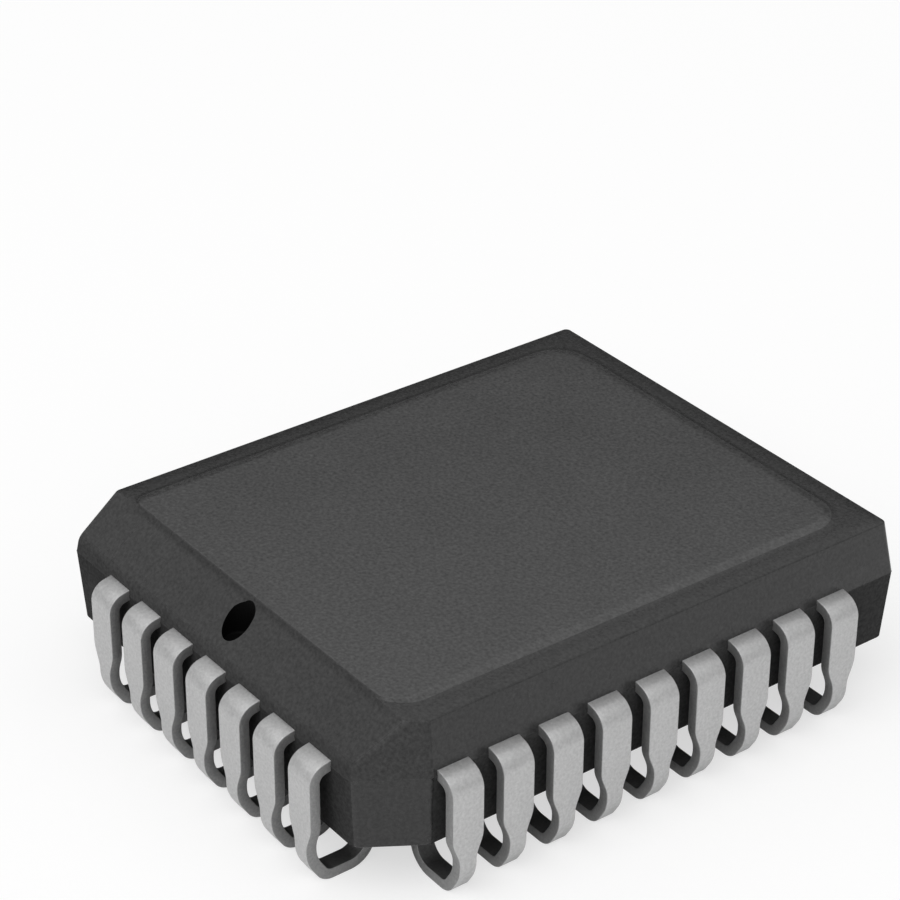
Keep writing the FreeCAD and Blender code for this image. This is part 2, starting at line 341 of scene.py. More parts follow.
def plain_profile(end_heights):
    """Inset from the parting outline against height; the heights are those that the pin-1 end needs."""
    lower_inset = (parting_height - underside) * lower_draft
    bottom_corner = (lower_inset, underside)
    top_corner = (top_inset, top_edge)
    along_bottom = (lower_inset + 1, underside)
    along_top = (top_inset + 1, top_edge + 2 * border_slope)
    parting = (0, parting_height)
    points = rounded_turn(along_bottom, bottom_corner, parting, bottom_round, bottom_steps)
    points += [Vector((lower_inset * 0.5, (underside + parting_height) / 2))]
    points += [Vector((ridge_height * lower_draft, parting_height - ridge_height))]
    points += [Vector((-ridge_rise, parting_height - ridge_height * 0.3))]
    points += [Vector((-ridge_rise, parting_height + ridge_height * 0.3))]
    points += [Vector((ridge_height * upper_draft, parting_height + ridge_height))]
    points += [Vector(((height - parting_height) * upper_draft, height)) for height in end_heights]
    points += rounded_turn(parting, top_corner, along_top, top_round, top_steps)
    for step in range(1, border_steps + 1):
        share = step / border_steps
        rise = border_width * border_slope * (1 - (1 - share) ** 2)
        points.append(Vector((top_inset + border_width * share, top_edge + rise)))
    for step in range(1, field_steps + 1):
        share = step / field_steps
        rise = field_step * smooth_share(share)
        points.append(Vector((top_inset + border_width + field_step_run * share, field_foot + rise)))
    return points


print("top edge at, mm:", round(top_edge, 3), "inset", round(top_inset, 3))

# %% Profile of the pin-1 end
bevel_angle = math.radians(43.7)
bevel_slope = math.tan(bevel_angle)
bevel_round = 0.35
bevel_foot_height = shoulder_height + 0.227
bevel_foot_y = half_length - (bevel_foot_height - parting_height) * upper_draft
field_front_foot = field_height - 0.29
groove_height = field_height - 0.18
groove_depth = 0.062
field_front_round = 0.02
bevel_bend_rises = (-0.12, -0.09, -0.06, -0.03, 0, 0.02, 0.04, 0.06, 0.085)
bevel_middle = 3.8
groove_rise = groove_height - field_front_foot
groove_rises = (-0.02, 0, 0.05, groove_rise - 0.01, groove_rise + 0.01)


def bevel_line(height):
    """How far out the pin-1 end is at a height, with its soft foot."""
    lean = upper_draft_angle
    bend = math.radians(90) - bevel_angle
    reach = bevel_round * math.tan((bend - lean) / 2)
    arc_start = bevel_foot_height - reach * math.cos(lean)
    arc_end = bevel_foot_height + reach * math.cos(bend)
    if height <= arc_start:
        return half_length - (height - parting_height) * upper_draft
    if height >= arc_end:
        return bevel_foot_y - (height - bevel_foot_height) / bevel_slope
    centre_y = bevel_foot_y + reach * math.sin(lean) - bevel_round * math.cos(lean)
    centre_z = arc_start - bevel_round * math.sin(lean)
    return centre_y + math.sqrt(bevel_round ** 2 - (height - centre_z) ** 2)


def field_front_lift(height):
    """How far the surface is from the bevel's plane at a height: a groove under the field's edge."""
    if height <= field_front_foot:
        return 0.0
    if height <= groove_height:
        return -groove_depth * (height - field_front_foot) / groove_rise
    lift = -groove_depth * (field_height - height) / (field_height - groove_height)
    over = height - (field_height - field_front_round)
    if over > 0:
        lift -= field_front_round - math.sqrt(max(field_front_round ** 2 - over ** 2, 0))
    return lift


print("groove under the field's edge, mm:", round(field_front_lift(groove_height), 3))

# %% [markdown]
# ## Stacking the rings
#
# Each ring asks the profiles where its sides are, and how large its corners are: tight on the walls,
# growing across the border to the large corners of the field. The quads between two rings need no
# other thought, since point number n of one ring always belongs to point number n of the next.

# %% Rings of the body
wall_round = 0.10
facet_corner_round = 0.33
back_corner_round = 0.12
field_back_round = 1.0
field_front_corner = 0.50
field_facet_corner = 0.90
front_steps = 44
front_crowding = 0.8
groove_half_width = 4.93
groove_fade = 0.30
groove_reach = 0.45
groove_blend = 0.40
field_run_on = 0.08
merge_distance = 0.0005
sliver_length = 0.0002


def corner_radii(inset):
    """The five corner radii at an inset from the parting outline."""
    across = (inset - top_inset) / border_width
    share = smooth_share(across)
    past = max(inset - top_inset - border_width, 0.0)
    front = wall_round + (field_front_corner - wall_round) * share
    facet = facet_corner_round + (field_facet_corner - facet_corner_round) * share
    back = back_corner_round + (field_back_round - back_corner_round) * share
    return [front - past, facet - past, facet - past, back - past, back - past]


def ring_points(inset, height):
    """One ring of the body, anticlockwise from above."""
    above_ridge = height > parting_height + ridge_height
    on_ridge = abs(height - parting_height) < ridge_height
    draft = lower_draft if height < parting_height else upper_draft
    follows = on_ridge or height < underside + bottom_round
    cut_inset = inset if follows else abs(height - parting_height) * draft
    end_y = bevel_line(height) if above_ridge else half_length - inset
    distances = [half_width - inset, end_y, cut_distance - cut_inset, half_width - inset, half_length - inset]
    arcs = ring_outline(distances, corner_radii(inset))
    start = arcs[0][-1]
    end = arcs[1][0]
    front = []
    for step in range(1, front_steps):
        share = step / front_steps
        front.append(start.lerp(end, share - front_crowding * math.sin(math.tau * share) / math.tau))
    outline = arcs[0] + front + arcs[1] + arcs[2] + arcs[3] + arcs[4]
    lift = field_front_lift(height)
    points = []
    for place in outline:
        ahead = smooth_share((place.y - (end_y - groove_reach)) / groove_blend)
        inside = smooth_share((groove_half_width - abs(place.x)) / groove_fade)
        points.append(Vector((place.x, place.y + lift * ahead * inside, height)))
    return points


def stacked_rings(rings):
    """A closed mesh from rings of equal length, with flat ends."""
    mesh = bmesh.new()
    rows = [[mesh.verts.new(point * mm) for point in ring] for ring in rings]
    count = len(rows[0])
    for lower, upper in zip(rows, rows[1:]):
        for place in range(count):
            after = (place + 1) % count
            mesh.faces.new((lower[place], lower[after], upper[after], upper[place]))
    mesh.faces.new(list(reversed(rows[0])))
    mesh.faces.new(rows[-1])
    return mesh


end_heights = [bevel_foot_height + rise for rise in bevel_bend_rises] + [bevel_middle]
end_heights += [field_front_foot + rise for rise in groove_rises]
profile = plain_profile(end_heights)
rings = [ring_points(point.x, point.y) for point in profile]
last = profile[-1]
rings.append(ring_points(last.x + field_run_on, last.y))
body_mesh = stacked_rings(rings)
bmesh.ops.remove_doubles(body_mesh, verts=body_mesh.verts, dist=merge_distance * mm)
bmesh.ops.dissolve_degenerate(body_mesh, edges=body_mesh.edges, dist=sliver_length * mm)
body_volume = body_mesh.calc_volume() / mm ** 3
print("body rings:", len(rings), "points in a ring:", len(rings[0]), "volume, mm3:", round(body_volume, 2))

# %% [markdown]
# ## Turning mesh code into a finished piece
#
# Flat faces next to small roundings shade badly if every normal is a plain average, because the big
# face is pulled towards the little ones. Weighting the normals by area keeps the big faces flat, and
# edges sharper than a set angle are marked so that they stay crisp. The modifier that does the
# weighting is baked into the mesh, so nothing is left live on the piece.

# %% Finish a mesh
def as_object(mesh, name):
    """A bmesh made into an object at the origin."""
    data = bpy.data.meshes.new(name)
    mesh.to_mesh(data)
    mesh.free()
    made = bpy.data.objects.new(name, data)
    bpy.context.scene.collection.objects.link(made)
    return made


def bake_modifiers(piece):
    """Replace a piece's mesh by its evaluated one and drop its modifiers."""
    graph = bpy.context.evaluated_depsgraph_get()
    baked = bpy.data.meshes.new_from_object(piece.evaluated_get(graph))
    piece.modifiers.clear()
    piece.data = baked
    return piece


def finish_shading(piece, sharp_degrees):
    """Smooth faces, sharp edges past an angle, and normals weighted by area."""
    mesh = bmesh.new()
    mesh.from_mesh(piece.data)
    for face in mesh.faces:
        face.smooth = True
    for edge in mesh.edges:
        edge.smooth = edge.is_manifold and edge.calc_face_angle(0) < math.radians(sharp_degrees)
    mesh.to_mesh(piece.data)
    mesh.free()
    weighted = piece.modifiers.new("weighted normals", "WEIGHTED_NORMAL")
    weighted.keep_sharp = True
    return bake_modifiers(piece)


# %% [markdown]
# ## The pin-1 dimple
#
# A blind round hole in the bevel marks pin 1. The mould makes it with a round pin, slightly tapered so
# that it pulls out, with a soft end. It could be pushed into the mesh, but a hole through a slope has
# an oval mouth that no ring of quads follows, so the pin is cut out with an exact boolean instead.

# %% The pin
dimple_radius = 0.375
dimple_place = Vector((0.057, half_length - 0.648))
dimple_floor = shoulder_height + 0.25
dimple_taper = 0.02
dimple_end_round = 0.06
dimple_end_steps = 5
dimple_sides = 48
pin_top = field_height + 0.4


def pin_ring(radius, height):
    """One ring of the dimple's pin."""
    angles = [math.tau * side / dimple_sides for side in range(dimple_sides)]
    around = [Vector((math.cos(angle), math.sin(angle))) * radius for angle in angles]
    return [Vector((dimple_place.x + point.x, dimple_place.y + point.y, height)) for point in around]


pin_rings = []
for step in range(dimple_end_steps + 1):
    angle = math.radians(90 * step / dimple_end_steps)
    foot_radius = dimple_radius - dimple_taper - dimple_end_round * (1 - math.sin(angle))
    pin_rings.append(pin_ring(foot_radius, dimple_floor + dimple_end_round * (1 - math.cos(angle))))
pin_rings.append(pin_ring(dimple_radius, pin_top))
pin = as_object(stacked_rings(pin_rings), "dimple pin")
body = as_object(body_mesh, "moulded_body")
print("dimple depth below the field, mm:", round(field_height - dimple_floor, 3))

# %% [markdown]
# ## A finish for each face
#
# One piece can wear several finishes: each face holds the number of a material slot. Where a face is
# and which way its normal points tell which part of the mould made it, and which faces take the copies
# that paint shade: the lower half, the bevel's foot and the upper corner facet. The limits below are
# parts of that normal: up for the field, towards +Y for the bevel's foot, and for the corner facet not
# too far up or down, and along the cut's own direction. The pin's faces all carry the dimple's finish,
# which paints the hole's shade, and the boolean hands them on to the hole that it cuts.

# %% Finishes of the body's faces
skin, field, dimple, lower, facet = range(len(body_finishes))
field_start = field_foot + field_step * smooth_share(field_finish_start / field_step_run)
field_limit = 0.9
shaded_foot_limit = 0.76
upright_limit = 0.6
level_limit = 0.1
shaded_facet_limit = 0.87


def finish_of(face):
    """The number of the finish for one face of the body."""
    height = face.center.z / mm
    facing = Vector((face.normal.x, face.normal.y))
    upright = face.normal.z < upright_limit and facing.length > level_limit
    # painted shade: the upper corner facet takes its shaded copy, the lower one the skin
    if upright and facing.normalized().dot(cut_normal) > shaded_facet_limit:
        return skin if height < parting_height else facet
    if height > field_start and face.normal.z > field_limit:
        return field
    # painted shade: the bevel's foot behind the shoulders and the whole lower half take the shaded copy
    shaded_bevel_foot = face.normal.y > shaded_foot_limit and height < field_front_foot
    return lower if shaded_bevel_foot or height < parting_height else skin


for piece in (body, pin):
    for finish in body_finishes:
        piece.data.materials.append(finish)
for face in body.data.polygons:
    face.material_index = finish_of(face)
# painted shade: the pin's faces take the near-black dimple finish
for face in pin.data.polygons:
    face.material_index = dimple
worn = [face.material_index for face in body.data.polygons]
counts = [worn.count(finish) for finish in (skin, field, lower, facet)]
print("faces of skin, field, lower half and facet:", counts)

# %% Cut the dimple
body_sharp_degrees = 24
cut = body.modifiers.new("dimple", "BOOLEAN")
cut.operation = "DIFFERENCE"
cut.object = pin
cut.solver = "EXACT"
bake_modifiers(body)
bpy.data.objects.remove(pin)
finish_shading(body, body_sharp_degrees)
print("moulded body:", len(body.data.vertices), "points,", len(body.data.polygons), "faces")

# %% [markdown]
# ## Plated lead metal
#
# The leads are copper alloy stamped from sheet, bent, and plated with tin. Plating is satin, not
# bright: fine crystals scatter the light, and drawing marks from the forming tool run faintly down the
# legs. The outer faces are pale. The sheared sides are rougher, and their darker tone is partly that
# and partly painted shade, which also covers most of each rounded edge and dulls its highlight. The
# faces that look into the hook are darker still, which is painted shade for the body's shadow they face.

# %% Plated metal
patch_size = 0.5
patch_tone = 0.14
patch_gloss = 0.12
mark_size = 0.03
mark_stretch = (1.0, 1.0, 0.08)
mark_depth = 0.35


def plated_metal(name, colour, roughness, grain, depth, speck):
    """Satin tin; grain size and depth in millimetres, speck is how uneven the tone is."""
    material, tree, shader, place = new_material(name)
    crystals = noise(tree, place, grain, detail=3.0, roughness=0.6)
    patches = noise(tree, place, patch_size, detail=3.0)
    drawn = add_node(tree, "ShaderNodeMapping", Vector=place, Scale=mark_stretch).outputs["Vector"]
    marks = noise(tree, drawn, mark_size, detail=2.0)
    tone = calculate(tree, "MULTIPLY", vary(tree, patches, patch_tone), vary(tree, crystals, speck))
    relief = calculate(tree, "MULTIPLY_ADD", marks, mark_depth, crystals)
    surface(tree, shader, colour, tone, relief, depth)
    tree.links.new(vary(tree, patches, patch_gloss, roughness), shader.inputs["Roughness"])
    shader.inputs["Metallic"].default_value = 1.0
    return material


plated_lead = plated_metal("plated lead", grey(0.61), 0.58, 0.070, 0.0040, 0.50)
# painted shade, in part: a darker metal for the sheared sides and most of the rounded edges
sheared_and_shaded_side = plated_metal("sheared side", grey(0.38), 0.65, 0.060, 0.0060, 0.60)
# painted shade: the faces that look into the hook are plated like the outer ones; this dark metal stands in
# for the body's shadow
inner_painted_shade = plated_metal("inner side painted shade", grey(0.17), 0.65, 0.060, 0.0040, 0.60)
print("metals of the leads:", ", ".join(metal.name for metal in (plated_lead, sheared_and_shaded_side, inner_painted_shade)))

# %% [markdown]
# ## One formed lead
#
# A lead is a strip of sheet that follows a path: down from its curled tip, round under the body, up
# the leg, over the shoulder bend, and into the body, where it becomes an inner finger. The path is a
# line of corner points, and each point's radius says how large the bend there is. Geometry Nodes then
# round the corners, sweep the strip's section along the path, and draw the sides in where the leg
# narrows. X is measured from the body's side, so the same path serves long and short rows.

# %% Path of a lead
shoulder_width = 0.78
foot_width = 0.43
strip_middle = frame_thickness / 2
shoulder_fall = math.radians(12.0)
shoulder_bend = 0.43 - strip_middle
lean_bend = 0.95 - strip_middle
toe_bend = 0.45 - strip_middle
tip_bend = 0.62 - strip_middle
lean_height = 0.673
toe_set_back = 0.336
neck_foot = 0.95
neck_top = 1.60
tip_height = underside - 0.03
root_depth = 0.25
knee_depth = 0.90
knee_width = 0.45
finger_tip_width = 0.32
leg_x = lead_reach - strip_middle
tip_x = leg_x - 1.45
neck_steps = 10

path_points = [
    ((tip_x, tip_height), 0),
    ((tip_x, strip_middle), tip_bend),
    ((leg_x - toe_set_back, strip_middle), toe_bend),
    ((leg_x, lean_height), lean_bend),
]
neck_first = len(path_points)
for step in range(neck_steps + 1):
    path_points.append(((leg_x, neck_foot + (neck_top - neck_foot) * step / neck_steps), 0))
path_points += [
    ((leg_x, parting_height - leg_x * math.tan(shoulder_fall)), shoulder_bend),
    ((0, parting_height), 0),
]
root_place = len(path_points)
path_points += [
    ((-root_depth, parting_height), 0),
    ((-knee_depth, parting_height), 0),
    ((-knee_depth - 1, parting_height), 0),
]


def length_to(place):
    """Length along the rounded path to one of its points that has no bend."""
    corners = [Vector(point) for point, bend in path_points]
    total = sum((corners[step + 1] - corners[step]).length for step in range(place))
    for step in range(1, place):
        turned = (corners[step + 1] - corners[step]).angle(corners[step] - corners[step - 1])
        bend = path_points[step][1]
        total += bend * turned - 2 * bend * math.tan(turned / 2)
    return total


path_data = bpy.data.curves.new("lead path", "CURVE")
path_data.dimensions = "3D"
spline = path_data.splines.new("POLY")
spline.points.add(len(path_points) - 1)
for point, ((x, z), bend) in zip(spline.points, path_points):
    point.co = (x * mm, 0, z * mm, 1)
    point.radius = bend * mm
leads = bpy.data.objects.new("formed_leads", path_data)
bpy.context.scene.collection.objects.link(leads)
neck_start = length_to(neck_first)
shoulder_end = length_to(root_place)
print("path points:", len(path_points), "length to the root, mm:", round(shoulder_end, 3))

# %% [markdown]
# ## The strip, swept and narrowed
#
# The section is a rectangle with small rounded corners, because a stamped edge is never knife sharp.
# Scaling it would squash those corners, so the narrowing moves the two sides in by an equal distance
# instead. How far depends on the length along the path, which is noted before the sweep. Two marks on
# the faces tell the sheared sides and the faces that look into the hook, so that each takes its darker
# metal: painted shade on the hook's faces, and in part on the sheared sides.
# Three helpers come first: a value moved from one range to another, how far two directions agree, and
# an empty group with named inputs. Then each part of the strip has a function of its own.

# %% Helpers for node groups
def ramp(tree, value, low, high, start, end, soft=False):
    """A value mapped from one range to another and held at both ends."""
    way = {"interpolation_type": "SMOOTHSTEP" if soft else "LINEAR"}
    return add_node(tree, "ShaderNodeMapRange", way, i0=value, i1=low, i2=high, i3=start, i4=end).outputs[0]


def dot(tree, first, second):
    """How far two directions agree."""
    product = add_node(tree, "ShaderNodeVectorMath", {"operation": "DOT_PRODUCT"}, i0=first, i1=second)
    return product.outputs["Value"]


def new_group(name, sockets):
    """An empty geometry group; sockets are (name, kind, value) and its output is Geometry."""
    tree = bpy.data.node_groups.new(name, "GeometryNodeTree")
    tree.interface.new_socket("Geometry", in_out="OUTPUT", socket_type="NodeSocketGeometry")
    for title, kind, value in sockets:
        socket = tree.interface.new_socket(title, in_out="INPUT", socket_type="NodeSocket" + kind)
        if value is not None:
            socket.default_value = value
    return tree, tree.nodes.new("NodeGroupInput").outputs


# %% The strip
edge_round = 0.018
bend_points = 14
edge_points = 3
corner_points = {"mode": "POLY"}


def rounded_path(tree, given, place):
    """The path with its last point at the finger's end and its corners rounded."""
    last_point = add_node(tree, "GeometryNodeCurveEndpointSelection", i0=0, i1=1).outputs[0]
    end = add_node(tree, "ShaderNodeCombineXYZ", i0=given["Finger end"], i1=place[1], i2=place[2]).outputs[0]
    path = add_node(
        tree, "GeometryNodeSetPosition", Geometry=given["Path"], Selection=last_point, Position=end
    ).outputs[0]
    bend = add_node(tree, "GeometryNodeInputRadius").outputs[0]
    fillet = add_node(
        tree, "GeometryNodeFilletCurve", corner_points, Curve=path, Count=bend_points, Radius=bend
    ).outputs[0]
    return add_node(tree, "GeometryNodeSetCurveRadius", Curve=fillet, Radius=1.0).outputs[0]


def swept_strip(tree, given, centre):
    """The strip's section, with its corners rounded, swept along a curve."""
    thickness = given["Thickness"]
    width = given["Shoulder width"]
    edge = given["Edge round"]
    section = add_node(
        tree, "GeometryNodeCurvePrimitiveQuadrilateral", Width=thickness, Height=width
    ).outputs[0]
    rounded = add_node(
        tree, "GeometryNodeFilletCurve", corner_points, Curve=section, Count=edge_points, Radius=edge
    ).outputs[0]
    return add_node(
        tree, "GeometryNodeCurveToMesh", Curve=centre, Profile_Curve=rounded, Fill_Caps=True
    ).outputs[0]


def width_along(tree, given, along):
    """How wide the lead is at a length along its path."""
    foot = given["Foot width"]
    neck_end = calculate(tree, "ADD", given["Neck start"], given["Neck length"])
    leg = ramp(tree, along, given["Neck start"], neck_end, foot, given["Shoulder width"], soft=True)
    tip = calculate(tree, "ADD", given["Knee"], given["Finger length"])
    root_loss = ramp(tree, along, given["Root"], given["Knee"], 0.0, (shoulder_width - knee_width) * mm)
    tip_loss = ramp(tree, along, given["Knee"], tip, 0.0, (knee_width - finger_tip_width) * mm)
    return calculate(tree, "SUBTRACT", calculate(tree, "SUBTRACT", leg, root_loss), tip_loss)


# %% Node group for one lead
# painted shade, in part: a lean this low marks most of each rounded edge as sheared, so it takes the darker
# metal
sheared_and_edge_shade_lean = 0.3
hook_width = 1.4
hook_height = 1.2
hook_middle = ((leg_x - hook_width / 2) * mm, 0.0, hook_height * mm)


def formed_lead_group():
    """Path in, one lead out: rounded corners, a swept section, and sides drawn in along the path."""
    tree, given = new_group("formed lead", [
        ("Path", "Geometry", None),
        ("Shoulder width", "Float", shoulder_width * mm),
        ("Foot width", "Float", foot_width * mm),
        ("Thickness", "Float", frame_thickness * mm),
        ("Edge round", "Float", edge_round * mm),
        ("Neck start", "Float", neck_start * mm),
        ("Neck length", "Float", (neck_top - neck_foot) * mm),
        ("Root", "Float", shoulder_end * mm),
        ("Knee", "Float", (shoulder_end + knee_depth - root_depth) * mm),
        ("Finger end", "Float", 0.0),
        ("Finger length", "Float", 0.0),
    ])
    place = add_node(tree, "GeometryNodeInputPosition").outputs[0]
    split = add_node(tree, "ShaderNodeSeparateXYZ", i0=place).outputs
    noted = add_node(tree, "GeometryNodeCaptureAttribute", {"domain": "POINT"})
    noted.capture_items.new("FLOAT", "Length")
    tree.links.new(rounded_path(tree, given, split), noted.inputs["Geometry"])
    length = add_node(tree, "GeometryNodeSplineParameter").outputs["Length"]
    tree.links.new(length, noted.inputs["Length"])
    swept = swept_strip(tree, given, noted.outputs["Geometry"])
    width = width_along(tree, given, noted.outputs["Length"])
    lost = calculate(tree, "SUBTRACT", width, given["Shoulder width"])
    drawn_in = calculate(tree, "MULTIPLY", lost, 0.5)
    side = calculate(tree, "SIGN", split[1])
    shift = add_node(tree, "ShaderNodeCombineXYZ", i1=calculate(tree, "MULTIPLY", side, drawn_in)).outputs[0]
    narrowed = add_node(tree, "GeometryNodeSetPosition", Geometry=swept, Offset=shift).outputs[0]
    facing = add_node(tree, "GeometryNodeInputNormal").outputs[0]
    sideways = calculate(tree, "ABSOLUTE", add_node(tree, "ShaderNodeSeparateXYZ", i0=facing).outputs[1])
    sheared = calculate(tree, "GREATER_THAN", sideways, sheared_and_edge_shade_lean)
    minus = {"operation": "SUBTRACT"}
    # painted shade: faces turned towards the hook's middle are marked inner and later take the dark metal
    inwards = add_node(tree, "ShaderNodeVectorMath", minus, i0=hook_middle, i1=place).outputs[0]
    facing_in = dot(tree, inwards, facing)
    inner = calculate(tree, "GREATER_THAN", facing_in, 0.0)
    marked = narrowed
    for name, value in (("inner", inner), ("sheared", sheared)):
        marked = add_node(
            tree, "GeometryNodeStoreNamedAttribute", {"data_type": "BOOLEAN", "domain": "FACE"},
            Geometry=marked, Name=name, Value=value,
        ).outputs[0]
    tree.links.new(marked, tree.nodes.new("NodeGroupOutput").inputs[0])
    return tree


formed_lead = formed_lead_group()
print("nodes for one lead:", len(formed_lead.nodes))

# %% [markdown]
# ## Rows of leads
#
# All 32 leads are the same stamping at one pitch, so a row is one lead repeated along a line. Inside
# the body the fingers crowd together towards the die pad: each slants sideways from its knee by an
# amount that grows with its place in the row. Four rows, turned a quarter each, make the whole set.

# %% Node group for a row
lead_pitch = 1.27
finger_tip_pitch = 0.60
short_row = 7


def lead_row_group():
    """One row of leads on the +X side, turned about the upright axis."""
    tree, given = new_group("lead row", [
        ("Path", "Geometry", None),
        ("Count", "Int", short_row),
        ("Pitch", "Float", lead_pitch * mm),
        ("Side", "Float", 0.0),
        ("Finger tip", "Float", 0.0),
        ("Turn", "Float", 0.0),
    ])
    finger_end = calculate(tree, "SUBTRACT", given["Finger tip"], given["Side"])
    finger_length = calculate(tree, "SUBTRACT", -knee_depth * mm, finger_end)
    one = tree.nodes.new("GeometryNodeGroup")
    one.node_tree = formed_lead
    tree.links.new(given["Path"], one.inputs["Path"])
    tree.links.new(finger_end, one.inputs["Finger end"])
    tree.links.new(finger_length, one.inputs["Finger length"])
    gaps = calculate(tree, "SUBTRACT", given["Count"], 1.0)
    first = calculate(tree, "MULTIPLY", calculate(tree, "MULTIPLY", gaps, given["Pitch"]), -0.5)
    start = add_node(tree, "ShaderNodeCombineXYZ", i0=given["Side"], i1=first).outputs[0]
    step = add_node(tree, "ShaderNodeCombineXYZ", i1=given["Pitch"]).outputs[0]
    spaced = {"mode": "OFFSET"}
    line = add_node(
        tree, "GeometryNodeMeshLine", spaced, Count=given["Count"], Start_Location=start, Offset=step
    ).outputs[0]
    place = add_node(tree, "GeometryNodeInputPosition").outputs[0]
    split = add_node(tree, "ShaderNodeSeparateXYZ", i0=place).outputs
    noted = add_node(tree, "GeometryNodeCaptureAttribute", {"domain": "POINT"})
    noted.capture_items.new("FLOAT", "Along")
    tree.links.new(line, noted.inputs["Geometry"])
    tree.links.new(split[1], noted.inputs["Along"])
    copies = add_node(
        tree, "GeometryNodeInstanceOnPoints", Points=noted.outputs["Geometry"], Instance=one.outputs[0]
    ).outputs[0]
    real = add_node(tree, "GeometryNodeRealizeInstances", Geometry=copies).outputs[0]
    knee = calculate(tree, "SUBTRACT", given["Side"], knee_depth * mm)
    share = ramp(tree, split[0], knee, given["Finger tip"], 0.0, 1.0)
    high = calculate(tree, "GREATER_THAN", split[2], (parting_height - frame_thickness) * mm)
    crowd = calculate(tree, "MULTIPLY", noted.outputs["Along"], finger_tip_pitch / lead_pitch - 1)
    slant = calculate(tree, "MULTIPLY", calculate(tree, "MULTIPLY", share, high), crowd)
    shift = add_node(tree, "ShaderNodeCombineXYZ", i1=slant).outputs[0]
    slanted = add_node(tree, "GeometryNodeSetPosition", Geometry=real, Offset=shift).outputs[0]
    turn_by = add_node(tree, "ShaderNodeCombineXYZ", i2=given["Turn"]).outputs[0]
    turned = add_node(tree, "GeometryNodeTransform", Geometry=slanted, Rotation=turn_by).outputs[0]
    tree.links.new(turned, tree.nodes.new("NodeGroupOutput").inputs[0])
    return tree


# %% Node group for the four rows
long_row = 9


def all_leads_group(row_group):
    """The four rows, joined, realized and given their metal."""
    tree, given = new_group("plated leads", [
        ("Path", "Geometry", None),
        ("Long count", "Int", long_row),
        ("Short count", "Int", short_row),
        ("Long side", "Float", 0.0),
        ("Short side", "Float", 0.0),
        ("Long finger tip", "Float", 0.0),
        ("Short finger tip", "Float", 0.0),
    ])
    join = tree.nodes.new("GeometryNodeJoinGeometry")
    for quarter, kind in enumerate(("Long", "Short", "Long", "Short")):
        row = tree.nodes.new("GeometryNodeGroup")
        row.node_tree = row_group
        row.inputs["Turn"].default_value = math.radians(90 * quarter)
        tree.links.new(given["Path"], row.inputs["Path"])
        tree.links.new(given[f"{kind} count"], row.inputs["Count"])
        tree.links.new(given[f"{kind} side"], row.inputs["Side"])
        tree.links.new(given[f"{kind} finger tip"], row.inputs["Finger tip"])
        tree.links.new(row.outputs[0], join.inputs[0])
    real = add_node(tree, "GeometryNodeRealizeInstances", Geometry=join.outputs[0]).outputs[0]
    dressed = add_node(tree, "GeometryNodeSetMaterial", Geometry=real, Material=plated_lead).outputs[0]
    truth = {"data_type": "BOOLEAN"}
    # painted shade: the inner faces take the dark metal, the sheared sides a partly shaded one
    for name, metal in (("inner", inner_painted_shade), ("sheared", sheared_and_shaded_side)):
        chosen = add_node(tree, "GeometryNodeInputNamedAttribute", truth, Name=name).outputs[0]
        dressed = add_node(
            tree, "GeometryNodeSetMaterial", Geometry=dressed, Selection=chosen, Material=metal
        ).outputs[0]
    tree.links.new(dressed, tree.nodes.new("NodeGroupOutput").inputs[0])
    return tree


lead_tree = all_leads_group(lead_row_group())
print("nodes for the four rows:", len(lead_tree.nodes))

# %% [markdown]
# ## From nodes to a plain mesh
#
# The tree is used once, on the lead's path. Its sizes are set on the modifier by each socket's
# identifier, its result is copied into a mesh of its own, and the path is removed, so that nothing
# live is left. The mesh keeps an empty first slot from the path, which is dropped.

# %% The leads
long_finger_tip = 2.45
short_finger_tip = 2.95
lead_sharp_degrees = 40
modifier = leads.modifiers.new("plated leads", "NODES")
modifier.node_group = lead_tree
sizes = {
    "Long count": long_row,
    "Short count": short_row,
    "Long side": half_width * mm,
    "Short side": half_length * mm,
    "Long finger tip": long_finger_tip * mm,
    "Short finger tip": short_finger_tip * mm,
}
for socket in lead_tree.interface.items_tree:
    if socket.in_out == "INPUT" and socket.name in sizes:
        modifier[socket.identifier] = sizes[socket.name]
graph = bpy.context.evaluated_depsgraph_get()
lead_data = bpy.data.meshes.new_from_object(leads.evaluated_get(graph))
bpy.data.objects.remove(leads)
lead_data.name = "formed_leads"
lead_data.materials.pop(index=0)
leads = bpy.data.objects.new("formed_leads", lead_data)
bpy.context.scene.collection.objects.link(leads)
check = bmesh.new()
check.from_mesh(lead_data)
if check.calc_volume(signed=True) < 0:
    bmesh.ops.reverse_faces(check, faces=check.faces)
    check.to_mesh(lead_data)
print("leads volume, mm3:", round(check.calc_volume() / mm ** 3, 2), "faces:", len(check.faces))
check.free()
finish_shading(leads, lead_sharp_degrees)

# %% [markdown]
# ## The pieces inside
#
# Sealed in the body are the die pad, the adhesive, the die and the bond wires. They keep the shapes
# of the construction model, since a flat plate is a flat plate, and get real finishes for whoever
# opens the model: bare copper alloy, silver-filled epoxy, polished silicon and drawn gold.

# %% Finishes of the inner pieces
inner_tone = 0.3


def inner_finish(name, colour, metallic, roughness, grain, depth):
    """A finish with a fine grain, in millimetres, and slightly uneven tone."""
    material, tree, shader, place = new_material(name)
    fine = noise(tree, place, grain, detail=4.0)
    surface(tree, shader, colour, vary(tree, fine, inner_tone), fine, depth)
    shader.inputs["Metallic"].default_value = metallic
    shader.inputs["Roughness"].default_value = roughness
    return material


